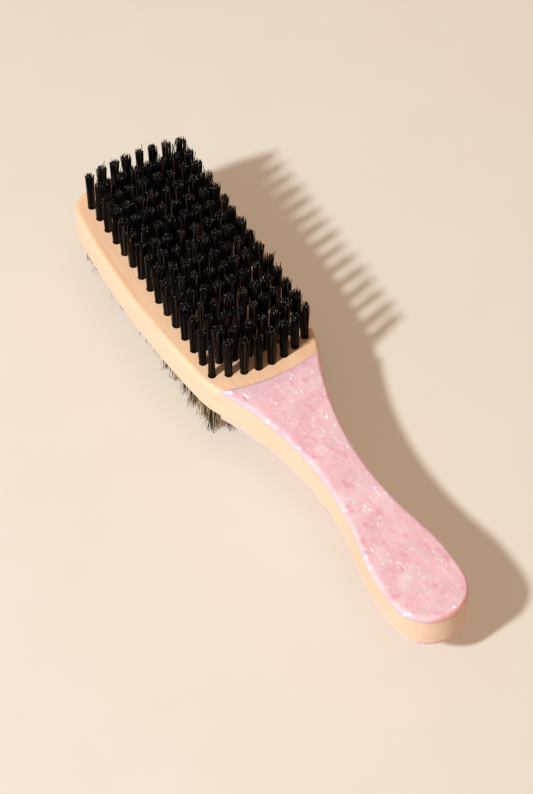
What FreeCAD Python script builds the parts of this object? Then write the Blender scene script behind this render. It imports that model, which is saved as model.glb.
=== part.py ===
import FreeCAD, Part
import math
import os

import Sketcher
from FreeCAD import Placement, Rotation, Vector

# Two-sided club brush: a wooden body with a paddle head, a handle faced with two acetate
# scales, stiff tufts on the upper face and softer natural tufts on the lower face.
# Millimetres, +Z up, +X from the head to the handle's butt. The brush stands on its lower
# tufts, and the origin is under its middle, at the level of their tips.

SIZES = [
    # outline, seen from above: tangent arcs, the same on both sides of the X axis
    ("overall_length", 227.0),
    ("end_radius", 80.0),
    ("corner_radius", 11.5),
    ("side_radius", 380.0),
    ("side_centre_x", 67.5),
    ("head_half_width", 26.4),
    ("shoulder_radius", 30.0),
    ("neck_radius", 120.0),
    ("waist_centre_x", 47.5),
    ("waist_half_width", 7.85),
    ("swell_radius", 81.5),
    ("butt_radius", 13.2),
    # wood
    ("wood_thickness", 13.4),
    ("head_edge_radius", 1.75),
    ("joint_arc_radius", 62.0),
    ("joint_arc_front_x", 0.8),
    ("seat_start_x", 6.0),
    ("seat_start_depth", 0.6),
    ("seat_butt_depth", 1.6),
    # scales
    ("scale_thickness", 2.3),
    ("scale_edge_radius", 1.5),
    # tuft field: rows run across the head, columns along it
    ("field_centre_x", 57.5),
    ("row_pitch", 6.5),
    ("column_pitch", 5.19),
    ("front_bulge", 4.8),
    ("rear_bulge", 1.9),
    ("hole_diameter", 3.0),
    ("hole_depth", 5.0),
    # tufts and the wire anchors that hold them
    ("upper_length", 16.6),
    ("lower_length", 15.0),
    ("root_diameter", 2.7),
    ("upper_tip_diameter", 3.6),
    ("lower_tip_diameter", 3.8),
    ("anchor_length", 2.6),
    ("anchor_width", 0.4),
    ("anchor_height", 1.0),
    ("anchor_gap", 0.1),
]
ROWS = 15
COLUMNS = 8
CUTTER_HEIGHT = 60.0
SLAB_HALF_WIDTH = 40.0
START, END, CENTRE = 1, 2, 3


def add_sizes(doc):
    sheet = doc.addObject("Spreadsheet::Sheet", "Sizes")
    for row, (alias, value) in enumerate(SIZES, start=1):
        sheet.set(f"A{row}", alias)
        sheet.set(f"B{row}", str(value))
        sheet.setAlias(f"B{row}", alias)
    doc.recompute()
    return sheet


# ---------------------------------------------------------------- outline


def tangent_centre(a, from_a, b, from_b, side):
    """The point at the given distances from a and b, on the left (+1) or right (-1) of a to b."""
    along = b - a
    span = along.Length
    reach = (from_a**2 - from_b**2 + span**2) / (2 * span)
    offset = math.sqrt(from_a**2 - reach**2)
    along.normalize()
    return a + along * reach + Vector(-along.y, along.x, 0) * (side * offset)


def toward(centre, radius, other):
    """The point of a circle on the line from its centre to another centre, on that side."""
    step = other - centre
    step.normalize()
    return centre + step * radius


def upper_arcs(s):
    """Each arc of the upper half from butt to far end: name, centre, radius, in, out, convex."""
    butt = Vector(s.overall_length / 2 - s.butt_radius, 0, 0)
    end = Vector(s.end_radius - s.overall_length / 2, 0, 0)
    neck = Vector(s.waist_centre_x, s.waist_half_width + s.neck_radius, 0)
    side = Vector(-s.side_centre_x, s.head_half_width - s.side_radius, 0)
    swell = tangent_centre(
        butt, s.swell_radius - s.butt_radius, neck, s.swell_radius + s.neck_radius, 1
    )
    shoulder = tangent_centre(
        side, s.side_radius - s.shoulder_radius, neck, s.neck_radius + s.shoulder_radius, 1
    )
    corner = tangent_centre(
        end, s.end_radius - s.corner_radius, side, s.side_radius - s.corner_radius, -1
    )
    butt_out = toward(swell, s.swell_radius, butt)
    swell_out = toward(swell, s.swell_radius, neck)
    neck_out = toward(shoulder, s.shoulder_radius, neck)
    shoulder_out = toward(side, s.side_radius, shoulder)
    side_out = toward(side, s.side_radius, corner)
    corner_out = toward(end, s.end_radius, corner)
    return [
        ("butt", butt, s.butt_radius, mirrored(butt_out), butt_out, True),
        ("swell", swell, s.swell_radius, butt_out, swell_out, True),
        ("neck", neck, s.neck_radius, swell_out, neck_out, False),
        ("shoulder", shoulder, s.shoulder_radius, neck_out, shoulder_out, True),
        ("side", side, s.side_radius, shoulder_out, side_out, True),
        ("corner", corner, s.corner_radius, side_out, corner_out, True),
        ("end", end, s.end_radius, corner_out, mirrored(corner_out), True),
    ]


def mirrored(point):
    return Vector(point.x, -point.y, 0)


def whole_outline(s):
    upper = upper_arcs(s)
    lower = [
        (name, mirrored(centre), radius, mirrored(leave), mirrored(enter), convex)
        for name, centre, radius, enter, leave, convex in reversed(upper[1:-1])
    ]
    return upper + lower


def arc_between(centre, radius, enter, leave, convex):
    """Sketch arcs run anticlockwise, so a concave arc starts where the outline leaves it."""
    first, last = (enter, leave) if convex else (leave, enter)
    start = math.atan2(first.y - centre.y, first.x - centre.x)
    stop = math.atan2(last.y - centre.y, last.x - centre.x)
    return Part.ArcOfCircle(Part.Circle(centre, Vector(0, 0, 1), radius), start, stop)


def bind(sketch, name, constraint, expression):
    index = sketch.addConstraint(constraint)
    sketch.renameConstraint(index, name)
    sketch.setExpression(f"Constraints.{name}", expression)


def add_outline(doc, s):
    sketch = doc.addObject("Sketcher::SketchObject", "BrushOutline")
    arcs = whole_outline(s)
    for name, centre, radius, enter, leave, convex in arcs:
        sketch.addGeometry(arc_between(centre, radius, enter, leave, convex))
    for here in range(len(arcs)):
        after = (here + 1) % len(arcs)
        leave = END if arcs[here][-1] else START
        enter = START if arcs[after][-1] else END
        sketch.addConstraint(Sketcher.Constraint("Tangent", here, leave, after, enter))
    butt, swell, neck, shoulder, side, corner, end = range(7)
    for arc, name in ((butt, "butt"), (end, "end")):
        sketch.addConstraint(Sketcher.Constraint("PointOnObject", arc, CENTRE, -1))
        radius = Sketcher.Constraint("Radius", arc, arcs[arc][2])
        bind(sketch, f"{name}_radius", radius, f"Sizes.{name}_radius")
    for arc in (swell, neck, shoulder, side, corner):
        name = arcs[arc][0]
        radius = Sketcher.Constraint("Radius", arc, arcs[arc][2])
        bind(sketch, f"{name}_radius", radius, f"Sizes.{name}_radius")
        twin = len(arcs) - arc
        sketch.addConstraint(Sketcher.Constraint("Equal", arc, twin))
    for arc in (neck, side):
        twin = len(arcs) - arc
        sketch.addConstraint(Sketcher.Constraint("Symmetric", arc, CENTRE, twin, CENTRE, -1))
    place_centres(sketch, arcs, butt, neck, side, end)
    return sketch


def place_centres(sketch, arcs, butt, neck, side, end):
    def across(name, arc, expression):
        x = arcs[arc][1].x
        points = (-1, START, arc, CENTRE) if x > 0 else (arc, CENTRE, -1, START)
        bind(sketch, name, Sketcher.Constraint("DistanceX", *points, abs(x)), expression)

    def up(name, arc, expression):
        y = arcs[arc][1].y
        points = (-1, START, arc, CENTRE) if y > 0 else (arc, CENTRE, -1, START)
        bind(sketch, name, Sketcher.Constraint("DistanceY", *points, abs(y)), expression)

    across("butt_centre_x", butt, "Sizes.overall_length / 2 - Sizes.butt_radius")
    across("end_centre_x", end, "Sizes.overall_length / 2 - Sizes.end_radius")
    across("neck_centre_x", neck, "Sizes.waist_centre_x")
    across("side_centre_x", side, "Sizes.side_centre_x")
    up("neck_centre_y", neck, "Sizes.waist_half_width + Sizes.neck_radius")
    up("side_centre_y", side, "Sizes.side_radius - Sizes.head_half_width")


# ---------------------------------------------------------------- wood and scales


def extrusion(doc, name, sketch, height, level):
    solid = doc.addObject("Part::Extrusion", name)
    solid.Base = sketch
    solid.DirMode = "Custom"
    solid.Dir = Vector(0, 0, 1)
    solid.Solid = True
    solid.setExpression("LengthFwd", height)
    solid.setExpression("Placement.Base.z", level)
    return solid


def boolean(doc, kind, name, base, tool):
    result = doc.addObject(f"Part::{kind}", name)
    result.Base = base
    result.Tool = tool
    return result


def rounded(doc, name, base, radius, wanted):
    """A Part::Fillet of the edges that wanted picks by their middle point."""
    doc.recompute()
    fillet = doc.addObject("Part::Fillet", name)
    fillet.Base = base
    edges = base.Shape.Edges
    middles = [e.valueAt((e.FirstParameter + e.LastParameter) / 2) for e in edges]
    fillet.Edges = [(i, radius, radius) for i, m in enumerate(middles, start=1) if wanted(m)]
    return fillet


def joint_cutter(doc):
    """The upright cylinder whose wall is the curved line where the scales meet the head."""
    cutter = doc.addObject("Part::Cylinder", "JointCutter")
    cutter.setExpression("Radius", "Sizes.joint_arc_radius")
    cutter.Height = CUTTER_HEIGHT
    cutter.setExpression(
        "Placement.Base.x", "-Sizes.joint_arc_front_x - Sizes.joint_arc_radius"
    )
    cutter.Placement.Base.z = -CUTTER_HEIGHT / 4
    return cutter


def core_slab(doc):
    """The space between the two seats, which thins evenly from the head to the butt."""
    slab = doc.addObject("Part::Wedge", "CoreSlab")
    slab.Placement.Rotation = Rotation(Vector(0, 0, 1), -90)
    slab.Xmin = slab.X2min = -SLAB_HALF_WIDTH
    slab.Xmax = slab.X2max = SLAB_HALF_WIDTH
    slab.setExpression("Ymin", "-Sizes.seat_start_x")
    slab.setExpression("Ymax", "Sizes.overall_length / 2")
    low = "Sizes.lower_length + Sizes.{}"
    high = "Sizes.lower_length + Sizes.wood_thickness - Sizes.{}"
    slab.setExpression("Zmin", low.format("seat_start_depth"))
    slab.setExpression("Zmax", high.format("seat_start_depth"))
    slab.setExpression("Z2min", low.format("seat_butt_depth"))
    slab.setExpression("Z2max", high.format("seat_butt_depth"))
    return slab


def add_wood(doc, s, outline, cutter, holes):
    blank = extrusion(doc, "WoodBlank", outline, "Sizes.wood_thickness", "Sizes.lower_length")
    head = boolean(doc, "Common", "HeadBlock", blank, cutter)
    handle = boolean(doc, "Cut", "HandleBlock", blank, cutter)
    core = boolean(doc, "Common", "HandleCore", handle, core_slab(doc))
    levels = (s.lower_length, s.lower_length + s.wood_thickness)
    axis = Vector(-s.joint_arc_front_x - s.joint_arc_radius, 0, 0)

    def rim(point):
        inside = math.hypot(point.x - axis.x, point.y) < s.joint_arc_radius - 0.01
        return inside and min(abs(point.z - level) for level in levels) < 1e-6

    soft_head = rounded(doc, "SoftHead", head, s.head_edge_radius, rim)
    whole = boolean(doc, "Fuse", "WoodUndrilled", soft_head, core)
    drilled = boolean(doc, "Cut", "WoodDrilledAbove", whole, holes[0])
    wood = boolean(doc, "Cut", "WoodBody", drilled, holes[1])
    wood.Label = "wood_body"
    return wood


def add_scale(doc, s, outline, cutter, name, upper):
    """A flat sheet cut to the handle's outline, its outer edge rounded, laid on its seat."""
    sheet = extrusion(doc, f"{name}_sheet", outline, "Sizes.scale_thickness", "0 mm")
    cut = boolean(doc, "Cut", f"{name}_cut", sheet, cutter)
    scale = rounded(
        doc,
        f"{name}_shape",
        cut,
        s.scale_edge_radius,
        lambda point: abs(point.z - s.scale_thickness) < 1e-6,
    )
    run = s.overall_length / 2 + s.seat_start_x
    slope = math.degrees(math.atan((s.seat_butt_depth - s.seat_start_depth) / run))
    tilt = Rotation(Vector(0, 1, 0), slope)
    seat = Vector(-s.seat_start_x, 0, s.wood_thickness / 2 - s.seat_start_depth)
    lay = Placement(seat, tilt) * Placement(Vector(s.seat_start_x, 0, 0), Rotation())
    if not upper:
        lay = Placement(Vector(), Rotation(Vector(1, 0, 0), 180)) * lay
    middle = Vector(0, 0, s.lower_length + s.wood_thickness / 2)
    scale.Placement = Placement(middle, Rotation()) * lay
    scale.Label = name
    return scale


# ---------------------------------------------------------------- tufts


def tuft_spots(s):
    """Each row's (x, y) places, from the far end to the handle. The middle columns run
    longer at both ends, so the rows at the ends bow outward."""
    edge = (COLUMNS - 1) / 2
    half_field = (ROWS - 1) / 2 * s.row_pitch
    rows = []
    for row in range(ROWS):
        spots = []
        for column in range(COLUMNS):
            across = column - edge
            bow = 1 - (across / edge) ** 2
            far = -half_field - s.rear_bulge * bow
            near = half_field + s.front_bulge * bow
            along = far + (near - far) * row / (ROWS - 1)
            spots.append((along - s.field_centre_x, across * s.column_pitch))
        rows.append(spots)
    return rows


def add_holes(doc, s):
    """One sketch of blind holes, extruded down from the upper face and up from the lower."""
    sketch = doc.addObject("Sketcher::SketchObject", "HolePattern")
    radius = s.hole_diameter / 2
    for spots in tuft_spots(s):
        for x, y in spots:
            sketch.addGeometry(Part.Circle(Vector(x, y, 0), Vector(0, 0, 1), radius))
    bind(
        sketch,
        "hole_radius",
        Sketcher.Constraint("Radius", 0, radius),
        "Sizes.hole_diameter / 2",
    )
    for hole in range(1, ROWS * COLUMNS):
        sketch.addConstraint(Sketcher.Constraint("Equal", 0, hole))
    top = "Sizes.lower_length + Sizes.wood_thickness - Sizes.hole_depth"
    above = extrusion(doc, "HolesAbove", sketch, "Sizes.hole_depth", top)
    below = extrusion(doc, "HolesBelow", sketch, "Sizes.hole_depth", "Sizes.lower_length")
    return above, below


def compound(doc, label, members):
    group = doc.addObject("Part::Compound", label.title().replace("_", ""))
    group.Links = members
    group.Label = label
    return group


def add_tuft(doc, name, x, y, side):
    """A bundle from just clear of its anchor to its tips, a little wider at the tips."""
    tuft = doc.addObject("Part::Cone", name)
    length = f"Sizes.{side}_length"
    buried = "(Sizes.hole_depth - Sizes.anchor_height - Sizes.anchor_gap)"
    tuft.setExpression("Height", f"{length} + {buried}")
    root = "Sizes.root_diameter / 2"
    tip = f"Sizes.{side}_tip_diameter / 2"
    tuft.setExpression("Radius1", root if side == "upper" else tip)
    tuft.setExpression("Radius2", tip if side == "upper" else root)
    tuft.Placement.Base = Vector(x, y, 0)
    if side == "upper":
        level = f"Sizes.lower_length + Sizes.wood_thickness - {buried}"
        tuft.setExpression("Placement.Base.z", level)
    return tuft


def add_anchor(doc, name, x, y, side):
    """The flat wire staple at the bottom of one hole, which the tuft is folded over."""
    anchor = doc.addObject("Part::Box", name)
    anchor.setExpression("Length", "Sizes.anchor_length")
    anchor.setExpression("Width", "Sizes.anchor_width")
    anchor.setExpression("Height", "Sizes.anchor_height")
    anchor.setExpression("Placement.Base.x", f"{x} - Sizes.anchor_length / 2")
    anchor.setExpression("Placement.Base.y", f"{y} - Sizes.anchor_width / 2")
    level = "Sizes.lower_length + Sizes.hole_depth - Sizes.anchor_height"
    if side == "upper":
        level = "Sizes.lower_length + Sizes.wood_thickness - Sizes.hole_depth"
    anchor.setExpression("Placement.Base.z", level)
    return anchor


def add_side(doc, s, side):
    """Every tuft row of one face, and one group of its anchors."""
    parts = []
    anchors = []
    for row, spots in enumerate(tuft_spots(s), start=1):
        tufts = []
        for column, (x, y) in enumerate(spots, start=1):
            place = f"{side.title()}{row:02d}{column}"
            tufts.append(add_tuft(doc, f"{place}Tuft", x, y, side))
            anchors.append(add_anchor(doc, f"{place}Anchor", x, y, side))
        parts.append(compound(doc, f"{side}_tuft_row_{row:02d}", tufts))
    parts.append(compound(doc, f"{side}_tuft_anchors", anchors))
    return parts


# ---------------------------------------------------------------- document


def check(doc, parts):
    for item in doc.Objects:
        if {"Invalid", "Error"} & set(item.State):
            raise RuntimeError(f"{item.Name} failed: {item.State}")
    for part in parts:
        if part.Shape.isNull() or not part.Shape.isValid():
            raise RuntimeError(f"{part.Label} has no valid shape")


def build():
    doc = FreeCAD.newDocument("ClubBrush")
    sizes = add_sizes(doc)
    outline = add_outline(doc, sizes)
    cutter = joint_cutter(doc)
    parts = [
        add_wood(doc, sizes, outline, cutter, add_holes(doc, sizes)),
        add_scale(doc, sizes, outline, cutter, "upper_scale", True),
        add_scale(doc, sizes, outline, cutter, "lower_scale", False),
    ]
    parts += add_side(doc, sizes, "upper")
    parts += add_side(doc, sizes, "lower")
    doc.recompute()
    check(doc, parts)
    os.makedirs("parts", exist_ok=True)
    for part in parts:
        part.Shape.exportStep(f"parts/{part.Label}.step")


build()
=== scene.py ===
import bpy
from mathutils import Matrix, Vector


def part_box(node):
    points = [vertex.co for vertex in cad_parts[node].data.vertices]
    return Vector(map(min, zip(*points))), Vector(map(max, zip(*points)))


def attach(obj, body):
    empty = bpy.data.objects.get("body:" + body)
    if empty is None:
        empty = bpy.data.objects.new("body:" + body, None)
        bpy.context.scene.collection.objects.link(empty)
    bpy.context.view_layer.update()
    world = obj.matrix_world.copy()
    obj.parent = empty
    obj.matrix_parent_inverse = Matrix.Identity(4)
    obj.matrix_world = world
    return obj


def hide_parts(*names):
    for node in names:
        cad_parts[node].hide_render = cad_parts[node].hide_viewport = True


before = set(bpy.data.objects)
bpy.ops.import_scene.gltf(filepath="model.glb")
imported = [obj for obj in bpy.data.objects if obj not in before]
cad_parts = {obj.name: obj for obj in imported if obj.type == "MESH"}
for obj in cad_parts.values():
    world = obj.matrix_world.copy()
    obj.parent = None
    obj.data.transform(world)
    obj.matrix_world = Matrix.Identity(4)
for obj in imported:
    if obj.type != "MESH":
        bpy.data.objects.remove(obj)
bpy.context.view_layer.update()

import math

import bpy
import numpy as np
from mathutils import Matrix, Vector

# Two-sided club brush standing on its lower bristles. Metres, in the CAD frame:
# +X from the head to the butt, +Z up, the floor at Z = 0.

MM = 0.001
ROWS = 15
WOOD_LOW, WOOD_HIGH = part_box("wood_body")
SEED = 483

# Wood: the colours of its bands, its sides and its flecks, how many of each pattern fit in
# a metre along X, Y and Z, and which cells hold a fleck, how big and how dark. The side
# colour is painted light: paler, as where the lamp washes the sides out
BEECH_DARK = (0.80, 0.44, 0.245)
BEECH = (0.86, 0.508, 0.30)
BEECH_LIGHT = (0.90, 0.562, 0.348)
# Painted light: the paler, less saturated colour of the lamp-washed sides
BEECH_SIDE_PAINTED_LIGHT = (0.826, 0.57, 0.43)
FLECK_BROWN = (0.36, 0.18, 0.08)
DRIFTS_PER_METRE = 30.0
BANDS_PER_METRE = (9.0, 150.0, 150.0)
FIBRES_PER_METRE = (60.0, 2600.0, 2600.0)
FLECKS_PER_METRE = (85.0, 1650.0, 1650.0)
GRAIN_TURN = math.radians(2.0)
FLECK_PICK = 0.62
FLECK_SIZE = 0.17
FLECK_DEPTH = 0.5
FIBRE_RELIEF = 0.06 * MM

# Acetate: its colours, its patterns per metre, how far the patterns are bent, and how far
# light travels under its surface. The lilac, violet and salmon colours and the rim patches
# are painted light: a sheen round the rim, a reflection of the tufts along the joint, and a
# glow on the rim away from the lamp
DEEP_ROSE = (0.77, 0.31, 0.36)
ROSE = (0.81, 0.415, 0.435)
SOFT_ROSE = (0.83, 0.475, 0.48)
GREY_ROSE = (0.74, 0.47, 0.475)
PALE_ROSE = (0.84, 0.54, 0.535)
MILK = (0.90, 0.70, 0.67)
# Painted sheen round the rounded rim of a scale
LILAC_RIM_SHEEN = (0.81, 0.50, 0.545)
# Painted reflection of the dark tufts along the joint with the head
VIOLET_JOINT_REFLECTION = (0.72, 0.40, 0.48)
# Painted glow on the rim away from the lamp
SALMON_RIM_GLOW = (0.84, 0.34, 0.26)
PEARL = (1.0, 0.98, 0.96)
CLOUDS_PER_METRE = 150.0
CHIPS_PER_METRE = 185.0
BLUSHES_PER_METRE = 230.0
VEIN_PATCHES_PER_METRE = 200.0
RIM_SHEEN_PATCHES_PER_METRE = 240.0
STREAKS_PER_METRE = (170.0, 760.0, 400.0)
STREAK_TURN = 0.7
BENDS_PER_METRE = 260.0
BENT_BY = 4.5 * MM
EASED_BY = 1.6 * MM
FLATTENED = (1.0, 1.0, 0.45)
GLOW_DEPTH = 2.6 * MM
GLOW_BY_COLOUR = (1.0, 0.42, 0.36)

# Pearl flakes: cells per metre, squash, turn, share left plain, least and added size
FLAKE_KINDS = (
    (300.0, (1.0, 2.2, 1.0), 0.7, 0.84, 0.10, 0.24),
    (110.0, (1.0, 2.6, 1.0), -0.2, 0.82, 0.06, 0.20),
)
RAGGED_PER_METRE = 1100.0
FLAKE_SOFTNESS = 0.12
SLIVERS_PER_METRE = (250.0, 620.0, 400.0)
SLIVER_TURN = -0.5
SLIVER_GROUPS_PER_METRE = 120.0

# The arc where the scales meet the head: its radius, how far its crest is from X = 0 toward
# the head, and the width of the band of painted reflection along it
JOINT_RADIUS = 62.0 * MM
JOINT_FRONT = 0.8 * MM
JOINT_REFLECTION_BAND = 3.0 * MM

# Bristles and wire
# Cut-end colours: partly lighter cut ends, partly painted glints
NYLON_END_AND_GLINT = (0.30, 0.30, 0.30)
BOAR_END_AND_GLINT = (0.60, 0.50, 0.32)
FILAMENT_STREAKS_PER_METRE = (4000.0, 4000.0, 300.0)
WIRE_DARK = (0.42, 0.41, 0.38)
WIRE_LIGHT = (0.62, 0.61, 0.58)
DRAW_LINES_PER_METRE = (300.0, 6000.0, 6000.0)

# Floor: its two tones, and the light that it gives off by itself
FLOOR_DARK = (0.518, 0.462, 0.396)
FLOOR_LIGHT = (0.531, 0.475, 0.410)
FLOOR_GLOW = (0.225, 0.156, 0.104)
MOTTLES_PER_METRE = 35.0


# ---------------------------------------------------------------- node helpers


class Shader:
    """A material's node tree, with short calls for the nodes that the looks here use."""

    def __init__(self, name):
        self.material = bpy.data.materials.new(name)
        self.material.use_nodes = True
        self.tree = self.material.node_tree
        self.tree.nodes.clear()
        self.surface = self.node("ShaderNodeBsdfPrincipled")
        output = self.node("ShaderNodeOutputMaterial")
        self.link(self.surface.outputs["BSDF"], output.inputs["Surface"])
        coordinates = self.node("ShaderNodeTexCoord")
        self.place = coordinates.outputs["Object"]
        self.normal = coordinates.outputs["Normal"]

    def node(self, kind, **settings):
        made = self.tree.nodes.new(kind)
        for key, value in settings.items():
            setattr(made, key, value)
        return made

    def link(self, source, target):
        self.tree.links.new(source, target)

    def feed(self, target, value):
        """value is a socket to link, or a constant for the socket itself."""
        if isinstance(value, bpy.types.NodeSocket):
            self.link(value, target)
        else:
            target.default_value = value

    def set(self, **values):
        """Principled inputs: underscores stand for spaces."""
        for key, value in values.items():
            self.feed(self.surface.inputs[key.replace("_", " ")], value)

    def shifted(self, offset):
        """The same place, moved, so that two patterns of one size don't fall together."""
        return self.mapped((1.0, 1.0, 1.0), offset=offset)

    def mapped(self, scale, rotation=(0, 0, 0), offset=(0, 0, 0), source=None):
        node = self.node("ShaderNodeMapping")
        self.link(source or self.place, node.inputs["Vector"])
        node.inputs["Scale"].default_value = scale
        node.inputs["Rotation"].default_value = rotation
        node.inputs["Location"].default_value = offset
        return node.outputs["Vector"]

    def noise(self, where, scale, detail=2.0, roughness=0.5, distortion=0.0):
        node = self.node("ShaderNodeTexNoise")
        self.link(where, node.inputs["Vector"])
        for key, value in (
            ("Scale", scale),
            ("Detail", detail),
            ("Roughness", roughness),
            ("Distortion", distortion),
        ):
            node.inputs[key].default_value = value
        return node

    def axis(self, vector, index):
        node = self.node("ShaderNodeSeparateXYZ")
        self.link(vector, node.inputs[0])
        return node.outputs[index]

    def cells(self, where, scale, feature="F1", smoothness=0.0):
        node = self.node("ShaderNodeTexVoronoi", feature=feature)
        self.link(where, node.inputs["Vector"])
        node.inputs["Scale"].default_value = scale
        if feature == "SMOOTH_F1":
            node.inputs["Smoothness"].default_value = smoothness
        return node

    def ramp(self, factor, stops):
        """stops: (position, colour or grey level) pairs."""
        node = self.node("ShaderNodeValToRGB")
        elements = node.color_ramp.elements
        while len(elements) < len(stops):
            elements.new(1.0)
        for element, (position, colour) in zip(elements, stops):
            element.position = position
            if isinstance(colour, (int, float)):
                colour = (colour, colour, colour)
            element.color = (*colour, 1.0)
        self.link(factor, node.inputs["Fac"])
        return node.outputs["Color"]

    def mix(self, factor, a, b, blend="MIX"):
        node = self.node("ShaderNodeMix", data_type="RGBA", blend_type=blend)
        factors = [socket for socket in node.inputs if socket.name == "Factor"]
        self.feed(factors[0], factor)
        colours = [socket for socket in node.inputs if socket.type == "RGBA"]
        for socket, value in zip(colours, (a, b)):
            self.feed(socket, (*value, 1.0) if isinstance(value, tuple) else value)
        return [socket for socket in node.outputs if socket.type == "RGBA"][0]

    def math(self, operation, a, b=0.0, clamp=False):
        node = self.node("ShaderNodeMath", operation=operation, use_clamp=clamp)
        self.feed(node.inputs[0], a)
        self.feed(node.inputs[1], b)
        return node.outputs[0]

    def bump(self, height, strength, distance):
        node = self.node("ShaderNodeBump")
        self.link(height, node.inputs["Height"])
        node.inputs["Strength"].default_value = strength
        node.inputs["Distance"].default_value = distance
        self.set(Normal=node.outputs["Normal"])


# ---------------------------------------------------------------- materials


def beech():
    """Pale straight-grained wood: soft bands, fine fibres and short dark flecks along X,
    with painted light on the sides: paler and less saturated, as where the lamp washes them out."""
    m = Shader("beech")
    drift = m.noise(m.place, DRIFTS_PER_METRE, detail=1.0)
    bands_at = m.mapped(BANDS_PER_METRE, rotation=(0, 0, GRAIN_TURN))
    bands = m.noise(bands_at, 1.0, detail=3.0, roughness=0.55, distortion=0.6)
    fibres = m.noise(m.mapped(FIBRES_PER_METRE), 1.0, detail=3.0, roughness=0.6)
    colour = m.ramp(bands.outputs["Fac"], [(0.25, BEECH_DARK), (0.5, BEECH), (0.75, BEECH_LIGHT)])
    tone = m.ramp(fibres.outputs["Fac"], [(0.3, 0.92), (0.62, 1.0)])
    colour = m.mix(0.8, colour, tone, "MULTIPLY")
    wash = m.ramp(drift.outputs["Fac"], [(0.35, (0.97, 0.94, 0.90)), (0.65, 1.0)])
    colour = m.mix(1.0, colour, wash, "MULTIPLY")
    # Painted light: faces that turn from level go toward the paler side colour, as where the lamp
    # washes the sides out
    upright = m.math("ABSOLUTE", m.axis(m.normal, 2))
    colour = m.mix(m.ramp(upright, [(0.2, 0.5), (0.8, 0.0)]), colour, BEECH_SIDE_PAINTED_LIGHT)
    fleck = m.cells(m.mapped(FLECKS_PER_METRE), 1.0)
    chosen = m.math("GREATER_THAN", fleck.outputs["Color"], FLECK_PICK)
    near = m.math("LESS_THAN", fleck.outputs["Distance"], FLECK_SIZE)
    flecks = m.math("MULTIPLY", m.math("MULTIPLY", chosen, near), FLECK_DEPTH)
    colour = m.mix(flecks, colour, FLECK_BROWN)
    m.set(Base_Color=colour, Roughness=0.55, Coat_Weight=0.06, Coat_Roughness=0.35)
    m.bump(fibres.outputs["Fac"], 0.25, FIBRE_RELIEF)
    return m.material


def acetate():
    """Milky pink acetate: soft clouds and chips, pale veins and streaks, pearl flakes, and
    painted light: a lilac sheen round the rim that turns to a salmon glow on the +Y side and
    round the butt, and a violet reflection along the joint with the head."""
    m = Shader("pearl_acetate")
    bends = m.noise(m.place, BENDS_PER_METRE, detail=3.0)
    bent = m.mix(BENT_BY, m.place, bends.outputs["Color"], "ADD")
    eased = m.mix(EASED_BY, m.place, bends.outputs["Color"], "ADD")
    colour = m.mix(0.55, clouds(m), chips(m, eased))
    blush = m.noise(m.shifted((0.3, 0.1, 0.2)), BLUSHES_PER_METRE, detail=2.0)
    blushed = m.ramp(blush.outputs["Fac"], [(0.57, 0.0), (0.70, 0.8)])
    colour = m.mix(blushed, colour, DEEP_ROSE)
    colour = m.mix(vein_factor(m, eased), colour, MILK)
    colour = m.mix(streak_factor(m, eased), colour, MILK)
    # Painted sheen round the rim
    colour = m.mix(rim_sheen_factor(m), colour, LILAC_RIM_SHEEN)
    # Painted glow on the rim away from the lamp
    colour = m.mix(far_rim_glow_factor(m), colour, SALMON_RIM_GLOW)
    # Painted reflection of the dark tufts along the joint
    colour = m.mix(joint_reflection_factor(m), colour, VIOLET_JOINT_REFLECTION)
    colour = m.mix(pearl_flakes(m, bent), colour, PEARL)
    m.set(
        Base_Color=colour,
        Roughness=0.14,
        IOR=1.49,
        Subsurface_Weight=0.8,
        Subsurface_Scale=GLOW_DEPTH,
        Subsurface_Radius=GLOW_BY_COLOUR,
        Coat_Weight=0.35,
        Coat_Roughness=0.04,
    )
    return m.material


def clouds(m):
    """Soft drifts from deep rose to milk."""
    cloud = m.noise(m.place, CLOUDS_PER_METRE, detail=3.0, distortion=0.9)
    return m.ramp(
        cloud.outputs["Fac"],
        [(0.30, DEEP_ROSE), (0.41, ROSE), (0.52, SOFT_ROSE), (0.62, PALE_ROSE), (0.74, MILK)],
    )


def chips(m, eased):
    """Soft-edged chips, each with a tone of its own."""
    flat = m.mapped(FLATTENED, source=eased)
    chip = m.cells(flat, CHIPS_PER_METRE, feature="SMOOTH_F1", smoothness=0.5)
    return m.ramp(
        chip.outputs["Color"],
        [(0.25, GREY_ROSE), (0.45, SOFT_ROSE), (0.60, GREY_ROSE), (0.80, PALE_ROSE)],
    )


def vein_factor(m, eased):
    """Thin pale lines between the chips, in patches."""
    flat = m.mapped(FLATTENED, source=eased)
    edges = m.cells(flat, CHIPS_PER_METRE, feature="DISTANCE_TO_EDGE")
    vein = m.ramp(edges.outputs["Distance"], [(0.0, 0.42), (0.10, 0.0)])
    patchy = m.noise(m.shifted((0.7, 0.4, 0.1)), VEIN_PATCHES_PER_METRE, detail=2.0)
    shown = m.ramp(patchy.outputs["Fac"], [(0.50, 0.0), (0.66, 1.0)])
    return m.math("MULTIPLY", vein, shown)


def streak_factor(m, eased):
    """Pale streaks that lie at a slant to the handle."""
    streaks_at = m.mapped(STREAKS_PER_METRE, rotation=(0, 0, STREAK_TURN), source=eased)
    streaks = m.noise(streaks_at, 1.0, detail=3.0, roughness=0.6)
    return m.ramp(streaks.outputs["Fac"], [(0.56, 0.0), (0.72, 0.5)])


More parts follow.
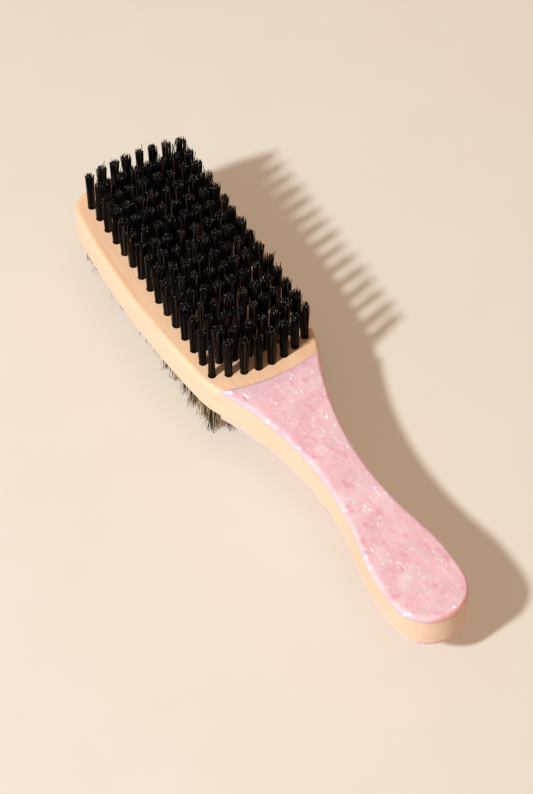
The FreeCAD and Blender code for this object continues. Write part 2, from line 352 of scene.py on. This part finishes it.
def rim_sheen_factor(m):
    """Painted sheen: patchy, and high round the rim of a scale, where its face turns from level.
    """
    upright = m.math("ABSOLUTE", m.axis(m.normal, 2))
    turned = m.ramp(upright, [(0.50, 0.85), (0.97, 0.0)])
    patches = m.noise(m.place, RIM_SHEEN_PATCHES_PER_METRE, detail=3.0, roughness=0.6)
    shown = m.ramp(patches.outputs["Fac"], [(0.40, 0.25), (0.58, 1.0)])
    return m.math("MULTIPLY", turned, shown)


def far_rim_glow_factor(m):
    """Painted glow, as of light through the edge: high on the rim that faces +Y, away from the
    lamp, and on the rim round the butt.
    """
    sideways = m.math("MULTIPLY", m.axis(m.normal, 1), 0.70)
    endways = m.math("MULTIPLY", m.axis(m.normal, 0), 0.85)
    return m.ramp(m.math("ADD", sideways, endways), [(0.28, 0.0), (0.58, 0.9)])


def joint_reflection_factor(m):
    """A faint painted reflection of the dark tufts, in a band along the arc where a scale meets
    the head.
    """
    from_centre = m.node("ShaderNodeVectorMath", operation="MULTIPLY_ADD")
    m.link(m.place, from_centre.inputs[0])
    from_centre.inputs[1].default_value = (1.0, 1.0, 0.0)
    from_centre.inputs[2].default_value = (JOINT_RADIUS + JOINT_FRONT, 0.0, 0.0)
    reach = m.node("ShaderNodeVectorMath", operation="LENGTH")
    m.link(from_centre.outputs[0], reach.inputs[0])
    beyond = m.math("SUBTRACT", reach.outputs["Value"], JOINT_RADIUS)
    return m.ramp(m.math("MULTIPLY", beyond, 1.0 / JOINT_REFLECTION_BAND), [(0.0, 0.55), (1.0, 0.0)])


def pearl_flakes(m, bent):
    """Bright ragged chips in two sizes, placed and sized by the cells' own colours, and
    thin glints between them."""
    ragged = m.noise(m.place, RAGGED_PER_METRE, detail=2.0)
    bite = m.ramp(ragged.outputs["Fac"], [(0.35, 0.0), (0.65, 0.16)])
    total = thin_glints(m)
    for per_metre, squash, turn, plain, least, added in FLAKE_KINDS:
        spots = m.cells(m.mapped(squash, rotation=(0, 0, turn), source=bent), per_metre)
        parts = m.node("ShaderNodeSeparateColor")
        m.link(spots.outputs["Color"], parts.inputs[0])
        chosen = m.math("GREATER_THAN", parts.outputs[0], plain)
        size = m.math("ADD", m.math("MULTIPLY", parts.outputs[1], added), least)
        edge = m.math("ADD", spots.outputs["Distance"], bite)
        inside = m.math("DIVIDE", m.math("SUBTRACT", size, edge), FLAKE_SOFTNESS, clamp=True)
        total = m.math("MAXIMUM", total, m.math("MULTIPLY", chosen, inside))
    return total


def thin_glints(m):
    """Short bright slivers that gather in loose groups."""
    slivers_at = m.mapped(SLIVERS_PER_METRE, rotation=(0, 0, SLIVER_TURN))
    slivers = m.noise(slivers_at, 1.0, detail=2.0, roughness=0.6, distortion=0.8)
    groups = m.noise(m.shifted((0.2, 0.9, 0.4)), SLIVER_GROUPS_PER_METRE, detail=2.0)
    bright = m.ramp(slivers.outputs["Fac"], [(0.61, 0.0), (0.69, 0.8)])
    gathered = m.ramp(groups.outputs["Fac"], [(0.49, 0.0), (0.60, 1.0)])
    return m.math("MULTIPLY", bright, gathered)


def filament(name, stops, roughness, index, end_and_glint_colour):
    """Bristle: each filament's own tone picks its colour from the stops, and some of the
    cut ends take the end colour, partly lighter cut ends and partly painted glints."""
    m = Shader(name)
    tone = m.node("ShaderNodeAttribute", attribute_name="tone")
    end = m.node("ShaderNodeAttribute", attribute_name="cut_end_and_glint")
    streaks = m.noise(m.mapped(FILAMENT_STREAKS_PER_METRE), 1.0, detail=1.0)
    colour = m.ramp(tone.outputs["Fac"], stops)
    shade = m.ramp(streaks.outputs["Fac"], [(0.3, 0.75), (0.7, 1.0)])
    colour = m.mix(1.0, colour, shade, "MULTIPLY")
    # Pale cut ends: partly lighter ends, partly painted glints
    colour = m.mix(end.outputs["Fac"], colour, end_and_glint_colour)
    m.set(Base_Color=colour, Roughness=roughness, IOR=index)
    return m.material


def nylon():
    """Black, with a few filaments dark brown."""
    stops = [
        (0.0, (0.0012, 0.0010, 0.0008)),
        (0.6, (0.0028, 0.0018, 0.0014)),
        (0.8, (0.011, 0.006, 0.004)),
        (1.0, (0.070, 0.038, 0.025)),
    ]
    return filament("nylon_bristle", stops, roughness=0.30, index=1.18, end_and_glint_colour=NYLON_END_AND_GLINT)


def boar():
    """Natural bristle: under half of the filaments dark brown, the rest olive to tan."""
    stops = [
        (0.0, (0.026, 0.014, 0.005)),
        (0.42, (0.070, 0.040, 0.015)),
        (0.55, (0.38, 0.255, 0.110)),
        (1.0, (0.84, 0.64, 0.36)),
    ]
    return filament("natural_bristle", stops, roughness=0.48, index=1.14, end_and_glint_colour=BOAR_END_AND_GLINT)


def wire():
    """Drawn steel, with fine lines along X."""
    m = Shader("anchor_wire")
    grain = m.noise(m.mapped(DRAW_LINES_PER_METRE), 1.0, detail=2.0)
    colour = m.ramp(grain.outputs["Fac"], [(0.3, WIRE_DARK), (0.7, WIRE_LIGHT)])
    m.set(Base_Color=colour, Metallic=1.0, Roughness=0.35)
    return m.material


def plain_floor():
    """Pale, and faintly lit by itself in place of what a room would bounce back."""
    m = Shader("floor")
    mottle = m.noise(m.place, MOTTLES_PER_METRE, detail=4.0)
    colour = m.ramp(mottle.outputs["Fac"], [(0.3, FLOOR_DARK), (0.7, FLOOR_LIGHT)])
    m.set(Base_Color=colour, Roughness=0.9)
    m.set(Emission_Color=(*FLOOR_GLOW, 1.0), Emission_Strength=1.0)
    return m.material


# ---------------------------------------------------------------- tufts


LEAST_GAP = 1.0 * MM
SPOT_NUDGE = 0.05
GOLDEN_TURN = math.pi * (3 - math.sqrt(5))


def tuft_centres(node):
    """The (x, y) of each tuft in a CAD row, from the gaps between its solids across the head."""
    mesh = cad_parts[node].data
    points = np.empty(len(mesh.vertices) * 3)
    mesh.vertices.foreach_get("co", points)
    points = points.reshape(-1, 3)
    points = points[np.argsort(points[:, 1])]
    gaps = np.flatnonzero(np.diff(points[:, 1]) > LEAST_GAP) + 1
    groups = np.split(points[:, :2], gaps)
    return [(group.min(0) + group.max(0)) / 2 for group in groups]


def disc(count, rng):
    """count points spread evenly over a unit disc, each nudged a little."""
    index = np.arange(count) + 0.5
    radius = np.sqrt(index / count)
    angle = index * GOLDEN_TURN + rng.uniform(0, 2 * math.pi)
    points = np.stack([radius * np.cos(angle), radius * np.sin(angle)], 1)
    return points + rng.normal(0, SPOT_NUDGE, points.shape)


class Bristle:
    """What makes one kind of tuft.

    face and tip: the heights where the tuft leaves the wood and where it ends, with reach
    +1 for up and -1 for down. count, thickness and taper: the filaments of one tuft.
    root_radius and tip_radius: the bundle at its two ends. flare, scatter and lean: how the
    tips spread. strays and stray_reach: how many go astray, and how far. bow: how much a
    filament bends midway. uneven and tuft_uneven: how much shorter a filament or a whole
    tuft may be. cut_tilt and pale_ends: how slanted the cuts are, and how many ends are pale,
    partly lighter cut ends and partly painted glints.
    """

    def __init__(self, **values):
        self.__dict__.update(values)


UPPER = Bristle(
    face=WOOD_HIGH.z,
    tip=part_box("upper_tuft_row_08")[1].z,
    reach=1,
    count=66,
    thickness=0.29 * MM,
    taper=0.9,
    root_radius=1.24 * MM,
    tip_radius=1.86 * MM,
    flare=0.14,
    scatter=0.20 * MM,
    strays=0.03,
    stray_reach=1.3 * MM,
    bow=0.16 * MM,
    uneven=0.40 * MM,
    tuft_uneven=0.20 * MM,
    lean=0.22 * MM,
    cut_tilt=0.5,
    pale_ends=0.16,
)
LOWER = Bristle(
    face=WOOD_LOW.z,
    tip=0.0,
    reach=-1,
    count=66,
    thickness=0.26 * MM,
    taper=0.55,
    root_radius=1.24 * MM,
    tip_radius=2.4 * MM,
    flare=0.12,
    scatter=0.55 * MM,
    strays=0.06,
    stray_reach=1.4 * MM,
    bow=0.35 * MM,
    uneven=1.1 * MM,
    tuft_uneven=0.0,
    lean=0.35 * MM,
    cut_tilt=0.5,
    pale_ends=0.6,
)
RINGS = 5
SIDES = 6
BURIED = 2.5 * MM
SPREAD_POWER = 1.5
WIDTH_RANGE = (0.85, 1.15)


def tuft_paths(kind, centre, rng):
    """Each filament's centre line as RINGS points from inside its hole to its tip."""
    spots = disc(kind.count, rng)
    root = centre + spots * kind.root_radius
    flare = kind.tip_radius * (1 + rng.normal(0, kind.flare))
    strayed = rng.uniform(0, 1, (kind.count, 1)) < kind.strays
    spread = np.where(strayed, kind.stray_reach, kind.scatter)
    tip = centre + spots * flare + rng.normal(0, 1, spots.shape) * spread
    tip = tip + rng.normal(0, kind.lean, 2)
    bow = rng.normal(0, kind.bow, spots.shape)
    short = np.abs(rng.normal(0, kind.uneven, kind.count)) + abs(rng.normal(0, kind.tuft_uneven))
    start = kind.face - kind.reach * BURIED
    stop = kind.tip - kind.reach * short
    paths = np.empty((kind.count, RINGS, 3))
    for ring, along in enumerate(np.linspace(0, 1, RINGS)):
        outward = (tip - root) * along**SPREAD_POWER
        paths[:, ring, :2] = root + outward + bow * math.sin(math.pi * along)
        paths[:, ring, 2] = start + (stop - start) * along
    return paths


def filaments_mesh(name, kind, paths, rng):
    """Many-sided filaments along near-upright paths, each closed at both ends."""
    count = len(paths)
    turn = np.arange(SIDES) * 2 * math.pi / SIDES
    angle = rng.uniform(0, 2 * math.pi, (count, 1)) + turn
    circle = np.stack([np.cos(angle), np.sin(angle)], 2)
    width = kind.thickness / 2 * rng.uniform(*WIDTH_RANGE, count)
    points = np.repeat(paths[:, :, None, :], SIDES, axis=2)
    for ring, along in enumerate(np.linspace(0, 1, RINGS)):
        grown = width * (1 + (kind.taper - 1) * along)
        points[:, ring, :, :2] += circle * grown[:, None, None]
    slope = rng.normal(0, kind.cut_tilt, (count, 2))
    cut = (circle * slope[:, None, :]).sum(2) * width[:, None]
    points[:, -1, :, 2] -= kind.reach * np.abs(cut)
    corner = np.arange(count * RINGS * SIDES).reshape(count, RINGS, SIDES)
    after = np.roll(corner, -1, axis=2)
    walls = np.stack([corner[:, :-1], after[:, :-1], after[:, 1:], corner[:, 1:]], 3)
    caps = np.concatenate([corner[:, 0, ::-1], corner[:, -1]])
    if kind.reach < 0:
        walls = walls[..., ::-1]
        caps = caps[:, ::-1]
    mesh = bpy.data.meshes.new(name)
    faces = walls.reshape(-1, 4).tolist() + caps.tolist()
    mesh.from_pydata(points.reshape(-1, 3).tolist(), [], faces)
    mesh.polygons.foreach_set("use_smooth", [len(face) == 4 for face in faces])
    tone = np.repeat(rng.uniform(0, 1, count), RINGS * SIDES)
    mesh.attributes.new("tone", "FLOAT", "POINT").data.foreach_set("value", tone)
    # Some cut ends made pale: partly lighter ends, partly painted glints
    cut_end_and_glint = np.zeros(len(faces))
    cut_end_and_glint[-count:] = rng.uniform(0, 1, count) * (rng.uniform(0, 1, count) < kind.pale_ends)
    mesh.attributes.new("cut_end_and_glint", "FLOAT", "FACE").data.foreach_set("value", cut_end_and_glint)
    mesh.update()
    return mesh


def add_row(kind, side, row, material):
    """One row of tufts, in place of its plain CAD solids."""
    node = f"{side}_tuft_row_{row:02d}"
    rng = np.random.default_rng([SEED, row, kind.reach + 1])
    paths = np.concatenate([tuft_paths(kind, centre, rng) for centre in tuft_centres(node)])
    mesh = filaments_mesh(node, kind, paths, rng)
    piece = bpy.data.objects.new(f"{side}_bristles_{row:02d}", mesh)
    bpy.context.scene.collection.objects.link(piece)
    piece.data.materials.append(material)
    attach(piece, "root")
    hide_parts(node)


def add_bristles():
    nylon_material, boar_material = nylon(), boar()
    for row in range(1, ROWS + 1):
        add_row(UPPER, "upper", row, nylon_material)
        add_row(LOWER, "lower", row, boar_material)


def dress_cad(names, material):
    """The CAD's own meshes, shown as they are with one material."""
    for name in names:
        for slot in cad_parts[name].material_slots:
            slot.material = material


# ---------------------------------------------------------------- studio


# The key lamp: its place, its width as the brush sees it, where its beam points and how wide
# the beam is, and how strongly it lights the brush. Then the fill, the floor and the camera.
KEY_PLACE = Vector((0.341, -1.242, 1.245))
KEY_WIDTH = math.radians(4.3)
KEY_AIM = Vector((-0.15, 0.15, 0.0))
KEY_BEAM = math.radians(114)
KEY_IRRADIANCE = 4.37
KEY_COLOUR = (0.87, 1.0, 1.09)
FILL_COLOUR = (0.41, 0.325, 0.255)
FILL_AT_HORIZON = 0.3
FILL_OVERHEAD = 1.35
FLOOR_SIZE = 6.0
CAMERA_AZIMUTH, CAMERA_ELEVATION, CAMERA_ROLL = (math.radians(a) for a in (61.35, 50.09, -0.46))
CAMERA_AIM = Vector((-15.6, 4.9, -0.4)) * MM
CAMERA_DISTANCE = 989.3 * MM
LENS = 127.36
SENSOR_WIDTH = 36.0
NEAREST_SEEN = 0.05


def add_floor():
    bpy.ops.mesh.primitive_plane_add(size=FLOOR_SIZE, location=(0, 0, 0))
    floor = bpy.context.object
    floor.name = "floor"
    floor.data.materials.append(plain_floor())


def add_key():
    """A small bright disc at the near left, high up. Its beam falls off toward its edge, so
    its energy is worked out from the light that reaches the brush."""
    distance = KEY_PLACE.length
    lamp = bpy.data.lights.new("key", "AREA")
    lamp.shape = "DISK"
    lamp.size = 2 * distance * math.tan(KEY_WIDTH / 2)
    lamp.spread = KEY_BEAM
    half = KEY_BEAM / 2
    focus = math.tan(half) / (math.tan(half) - half)
    lamp.energy = KEY_IRRADIANCE * math.pi * distance**2 / focus
    lamp.color = KEY_COLOUR
    key = bpy.data.objects.new("key", lamp)
    key.location = KEY_PLACE
    key.rotation_euler = (KEY_AIM - KEY_PLACE).to_track_quat("-Z", "Y").to_euler()
    bpy.context.scene.collection.objects.link(key)


def add_fill():
    """A warm light from all round, most of it from overhead."""
    world = bpy.data.worlds.new("fill")
    world.use_nodes = True
    tree = world.node_tree
    direction = tree.nodes.new("ShaderNodeTexCoord").outputs["Generated"]
    parts = tree.nodes.new("ShaderNodeSeparateXYZ")
    tree.links.new(direction, parts.inputs[0])
    height = tree.nodes.new("ShaderNodeMapRange")
    tree.links.new(parts.outputs["Z"], height.inputs["Value"])
    height.inputs["To Min"].default_value = FILL_AT_HORIZON
    height.inputs["To Max"].default_value = FILL_OVERHEAD
    sky = tree.nodes["Background"]
    sky.inputs["Color"].default_value = (*FILL_COLOUR, 1.0)
    tree.links.new(height.outputs["Result"], sky.inputs["Strength"])
    bpy.context.scene.world = world


def add_camera():
    level = math.cos(CAMERA_ELEVATION)
    back = Vector(
        (
            math.sin(CAMERA_AZIMUTH) * level,
            -math.cos(CAMERA_AZIMUTH) * level,
            math.sin(CAMERA_ELEVATION),
        )
    )
    data = bpy.data.cameras.new("camera")
    data.lens = LENS
    data.sensor_width = SENSOR_WIDTH
    data.clip_start = NEAREST_SEEN
    camera = bpy.data.objects.new("camera", data)
    facing = (-back).to_track_quat("-Z", "Y").to_matrix()
    turn = facing @ Matrix.Rotation(CAMERA_ROLL, 3, "Z")
    camera.matrix_world = Matrix.Translation(CAMERA_AIM + back * CAMERA_DISTANCE) @ turn.to_4x4()
    bpy.context.scene.collection.objects.link(camera)
    bpy.context.scene.camera = camera


dress_cad(["wood_body"], beech())
dress_cad(["upper_scale", "lower_scale"], acetate())
dress_cad(["upper_tuft_anchors", "lower_tuft_anchors"], wire())
add_bristles()
add_floor()
add_key()
add_fill()
add_camera()
bpy.context.scene.view_settings.view_transform = "Standard"
